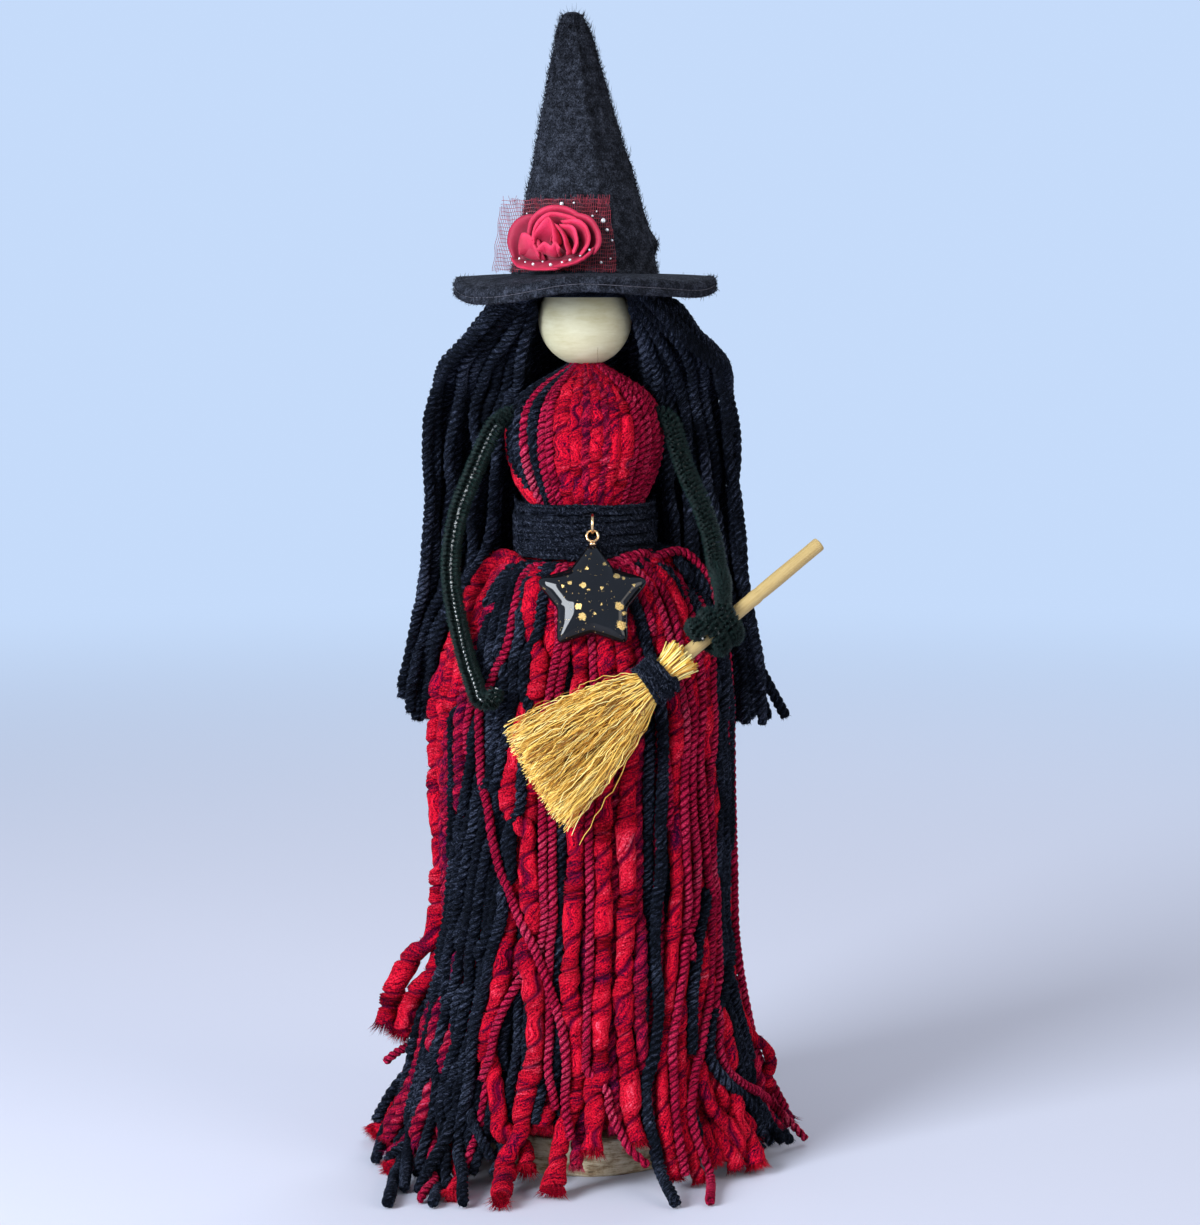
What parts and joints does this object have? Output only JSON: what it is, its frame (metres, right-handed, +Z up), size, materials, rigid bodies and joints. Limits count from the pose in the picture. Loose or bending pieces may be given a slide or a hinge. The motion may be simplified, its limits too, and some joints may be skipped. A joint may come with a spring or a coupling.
{
  "type": "wool witch doll",
  "caption": "Standing yarn doll in a tall felt hat, with a wooden bead head, chenille arms, a star charm and a small broom, on a birch slice.",
  "frame": {"origin": "centre of the flat underside of the birch slice, on the surface the doll stands on", "axes": "+Z up along the doll; the doll faces -Y; +X is at the right of a viewer who faces the doll, where the broom is"},
  "size_m": [0.1208, 0.0982, 0.3072],
  "materials": {
    "birch": "bark edge, sawn faces",
    "dowel_wood": "bare",
    "head_wood": "sanded, bare",
    "black_yarn": "matt wool",
    "crimson_yarn": "matt wool, two-ply",
    "red_yarn": "soft variegated wool",
    "band_yarn": "fine matt wool",
    "hair_yarn": "matt wool",
    "black_felt": "matt felt",
    "net_thread": "sheer net with silver dots",
    "rose_foam": "soft foam",
    "chenille_pile": "deep pile",
    "core_wire": "bright twisted wire",
    "bamboo": "split bamboo",
    "bristle_fibre": "dry plant fibre",
    "gold_metal": "bright gold tone",
    "star_resin": "domed gloss resin with gold flakes"
  },
  "bodies": {
    "root": {"wood_slice": "birch", "centre_dowel": "dowel_wood", "body_ball": "dowel_wood", "bodice_black_left": "black_yarn", "bodice_crimson_left": "crimson_yarn", "bodice_red_front": "red_yarn", "bodice_crimson_right": "crimson_yarn", "bodice_black_back": "black_yarn", "waist_bundle": "black_yarn", "waist_band": "band_yarn", "head_bead": "head_wood", "hair_cap": "hair_yarn", "hat_cone": "black_felt", "hat_brim_under": "black_felt", "hat_brim_top": "black_felt", "net_ribbon": "net_thread", "rose_bud": "rose_foam", "rose_petal_inner_1": "rose_foam", "rose_petal_inner_2": "rose_foam", "rose_petal_outer_1": "rose_foam", "rose_petal_outer_2": "rose_foam", "rose_petal_outer_3": "rose_foam", "skirt_core": "crimson_yarn", "hair_right_1": "hair_yarn", "hair_right_2": "hair_yarn", "hair_right_3": "hair_yarn", "hair_right_4": "hair_yarn", "hair_right_5": "hair_yarn", "hair_left_1": "hair_yarn", "hair_left_2": "hair_yarn", "hair_left_3": "hair_yarn", "hair_left_4": "hair_yarn", "hair_left_5": "hair_yarn", "skirt_lock_01": "red_yarn", "skirt_lock_02": "crimson_yarn", "skirt_lock_03": "red_yarn", "skirt_lock_04": "black_yarn", "skirt_lock_05": "crimson_yarn", "skirt_lock_06": "black_yarn", "skirt_lock_07": "red_yarn", "skirt_lock_08": "black_yarn", "skirt_lock_09": "crimson_yarn", "skirt_lock_10": "red_yarn", "skirt_lock_11": "red_yarn", "skirt_lock_12": "black_yarn", "skirt_lock_13": "black_yarn", "skirt_lock_14": "crimson_yarn"},
    "left_arm": {"left_arm_pile": "chenille_pile", "left_arm_wire": "core_wire"},
    "right_arm": {"right_arm_pile": "chenille_pile", "right_arm_wire": "core_wire", "hand_coil": "chenille_pile"},
    "broom": {"broom_handle": "bamboo", "broom_bristles": "bristle_fibre", "broom_tuft": "bristle_fibre", "broom_band": "band_yarn"},
    "ring": {"jump_ring": "gold_metal"},
    "star": {"eye_pin": "gold_metal", "star_charm": "star_resin"}
  },
  "joints": [
    {"name": "left_shoulder", "type": "hinge", "parent": "root", "child": "left_arm", "pos_m": [-0.02, -0.004, 0.201], "axis": [-1, 0, 0], "range_deg": [0, 80]},
    {"name": "right_shoulder", "type": "hinge", "parent": "root", "child": "right_arm", "pos_m": [0.02, -0.004, 0.201], "axis": [-1, 0, 0], "range_deg": [0, 75]},
    {"name": "broom_slide", "type": "slide", "parent": "right_arm", "child": "broom", "axis": [0.7613, 0.227, 0.6074], "range_m": [-0.028, 0.0025]},
    {"name": "ring_turn", "type": "hinge", "parent": "root", "child": "ring", "pos_m": [0.002, -0.019, 0.1732], "axis": [-1, 0, 0], "range_deg": [0, 65]},
    {"name": "star_swing", "type": "hinge", "parent": "ring", "child": "star", "pos_m": [0.002, -0.01993, 0.17077], "axis": [0, 0.9336, -0.3584], "range_deg": [-18, 25]}
  ]
}
